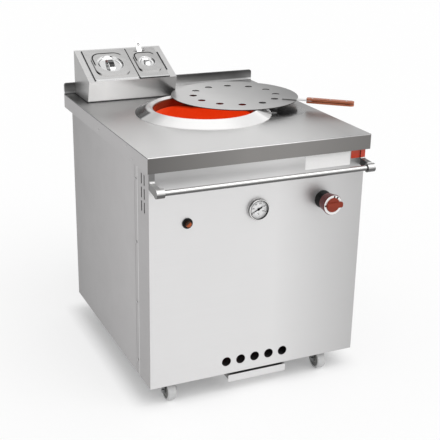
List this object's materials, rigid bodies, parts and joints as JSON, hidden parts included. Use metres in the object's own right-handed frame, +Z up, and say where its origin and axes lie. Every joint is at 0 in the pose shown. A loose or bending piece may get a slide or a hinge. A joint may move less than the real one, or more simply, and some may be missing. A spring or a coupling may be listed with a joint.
{
  "type": "tandoor oven",
  "caption": "Square gas-fired clay oven on castors, with a round mouth and lid, front controls, a handrail, a drip tray and a sloped unit of covered topping pans.",
  "frame": {"origin": "bottom centre of the outer box, on the floor under the wheels", "axes": "+X to the right as seen from the front, +Y from the front panel to the rear, +Z up"},
  "size_m": [0.9358, 1.011, 1.1184],
  "materials": {
    "worktop_steel": "brushed, satin",
    "panel_steel": "fine brushed, satin",
    "side_steel": "brushed, satin",
    "structure_steel": "plain, dull",
    "polished_steel": "polished",
    "screw_steel": "satin",
    "clay": "unglazed, rough",
    "wool": "fibrous",
    "drum_steel": "plain, dull",
    "cast_burner": "rough cast",
    "deflector_steel": "heat darkened",
    "gas_brass": "plain",
    "copper_tube": "plain",
    "black_plastic": "matte",
    "red_plastic": "semi-gloss",
    "button_plastic": "semi-gloss",
    "rubber_lead": "matte",
    "dial_case": "polished",
    "dial_white": "matte",
    "dial_glass": "clear",
    "needle_black": "matte",
    "rail_steel": "polished",
    "bracket_cast": "polished casting",
    "housing_steel": "brushed, satin",
    "pan_steel": "bright satin",
    "lid_steel": "worn, satin",
    "grip_wood": "oiled",
    "castor_zinc": "zinc plated",
    "castor_tread": "matte grey"
  },
  "bodies": {
    "cabinet": {"worktop": "worktop_steel", "front_panel": "panel_steel", "side_panel_left": "side_steel", "side_panel_right": "side_steel", "rear_panel": "side_steel", "base_pan": "structure_steel", "corner_posts": "structure_steel", "panel_screws": "screw_steel", "mouth_ring": "polished_steel", "clay_pot": "clay", "insulation": "wool", "drum": "drum_steel", "drum_stand": "structure_steel", "burner": "cast_burner", "burner_bracket": "structure_steel", "flame_deflector": "deflector_steel", "gas_inlet": "gas_brass", "supply_pipe": "copper_tube", "gas_valve": "gas_brass", "burner_feed_pipe": "copper_tube", "pilot_burner": "structure_steel", "pilot_pipe": "copper_tube", "thermocouple": "copper_tube", "knob_bezel": "black_plastic", "igniter_body": "black_plastic", "ignition_lead": "rubber_lead", "thermometer_case": "dial_case", "thermometer_dial": "dial_white", "thermometer_lens": "dial_glass", "handrail_tube": "rail_steel", "handrail_bracket_left": "bracket_cast", "handrail_bracket_right": "bracket_cast", "topping_housing": "housing_steel", "tray_runners": "structure_steel", "castor_plates": "castor_zinc"},
    "plunger": {"valve_plunger": "gas_brass"},
    "knob": {"gas_knob": "red_plastic", "valve_stem": "screw_steel"},
    "button": {"igniter_button": "button_plastic"},
    "pointer": {"thermometer_pointer": "needle_black"},
    "large_pan": {"large_pan": "pan_steel"},
    "small_pan": {"small_pan": "pan_steel"},
    "large_lid": {"large_pan_lid": "pan_steel", "large_lid_handle": "pan_steel"},
    "small_lid": {"small_pan_lid": "pan_steel", "small_lid_handle": "pan_steel"},
    "ladle": {"ladle": "pan_steel"},
    "tray": {"drip_tray": "panel_steel"},
    "lid": {"mouth_lid": "lid_steel", "lid_grip": "grip_wood", "lid_rivets": "screw_steel"},
    "castor_front_left": {"castor_fork_front_left": "castor_zinc"},
    "wheel_front_left": {"castor_wheel_front_left": "castor_tread"},
    "castor_front_right": {"castor_fork_front_right": "castor_zinc"},
    "wheel_front_right": {"castor_wheel_front_right": "castor_tread"},
    "castor_rear_left": {"castor_fork_rear_left": "castor_zinc"},
    "wheel_rear_left": {"castor_wheel_rear_left": "castor_tread"},
    "castor_rear_right": {"castor_fork_rear_right": "castor_zinc"},
    "wheel_rear_right": {"castor_wheel_rear_right": "castor_tread"}
  },
  "joints": [
    {"name": "valve_push", "type": "slide", "parent": "cabinet", "child": "plunger", "axis": [0, 1, 0], "range_m": [0, 0.005], "stiffness_N_per_m": 2500, "springref_m": -0.004},
    {"name": "knob_turn", "type": "hinge", "parent": "plunger", "child": "knob", "pos_m": [0.18308, -0.4275, 0.692], "axis": [0, -1, 0], "range_deg": [0, 180]},
    {"name": "button_push", "type": "slide", "parent": "cabinet", "child": "button", "axis": [0, 1, 0], "range_m": [0, 0.006], "stiffness_N_per_m": 1200, "springref_m": -0.004},
    {"name": "pointer_turn", "type": "hinge", "parent": "cabinet", "child": "pointer", "pos_m": [-0.06742, -0.4325, 0.688], "axis": [0, 1, 0], "range_deg": [-10, 230], "stiffness_Nm_per_rad": 0.02},
    {"name": "large_pan_lift", "type": "slide", "parent": "cabinet", "child": "large_pan", "axis": [0, -0.4057, 0.914], "range_m": [0, 0.12]},
    {"name": "small_pan_lift", "type": "slide", "parent": "cabinet", "child": "small_pan", "axis": [0, -0.4057, 0.914], "range_m": [0, 0.12]},
    {"name": "large_lid_lift", "type": "slide", "parent": "large_pan", "child": "large_lid", "axis": [0, -0.4057, 0.914], "range_m": [0, 0.12]},
    {"name": "small_lid_lift", "type": "slide", "parent": "small_pan", "child": "small_lid", "axis": [0, -0.4057, 0.914], "range_m": [0, 0.12]},
    {"name": "ladle_lift", "type": "slide", "parent": "small_pan", "child": "ladle", "axis": [0, 0.4695, 0.8829], "range_m": [0, 0.015]},
    {"name": "tray_slide", "type": "slide", "parent": "cabinet", "child": "tray", "axis": [0, -1, 0], "range_m": [0, 0.42]},
    {"name": "lid_lift", "type": "slide", "parent": "cabinet", "child": "lid", "axis": [0.3229, -0.2727, 0.9063], "range_m": [0, 0.3]},
    {"name": "swivel_front_left", "type": "hinge", "parent": "cabinet", "child": "castor_front_left", "pos_m": [-0.37192, -0.3545, 0.093], "axis": [0, 0, 1], "continuous": true},
    {"name": "roll_front_left", "type": "hinge", "parent": "castor_front_left", "child": "wheel_front_left", "pos_m": [-0.37192, -0.3815, 0.0375], "axis": [1, 0, 0], "continuous": true},
    {"name": "swivel_front_right", "type": "hinge", "parent": "cabinet", "child": "castor_front_right", "pos_m": [0.22708, -0.3545, 0.093], "axis": [0, 0, 1], "continuous": true},
    {"name": "roll_front_right", "type": "hinge", "parent": "castor_front_right", "child": "wheel_front_right", "pos_m": [0.22708, -0.3815, 0.0375], "axis": [1, 0, 0], "continuous": true},
    {"name": "swivel_rear_left", "type": "hinge", "parent": "cabinet", "child": "castor_rear_left", "pos_m": [-0.37192, 0.3595, 0.093], "axis": [0, 0, 1], "continuous": true},
    {"name": "roll_rear_left", "type": "hinge", "parent": "castor_rear_left", "child": "wheel_rear_left", "pos_m": [-0.37192, 0.3325, 0.0375], "axis": [1, 0, 0], "continuous": true},
    {"name": "swivel_rear_right", "type": "hinge", "parent": "cabinet", "child": "castor_rear_right", "pos_m": [0.22708, 0.3595, 0.093], "axis": [0, 0, 1], "continuous": true},
    {"name": "roll_rear_right", "type": "hinge", "parent": "castor_rear_right", "child": "wheel_rear_right", "pos_m": [0.22708, 0.3325, 0.0375], "axis": [1, 0, 0], "continuous": true}
  ]
}
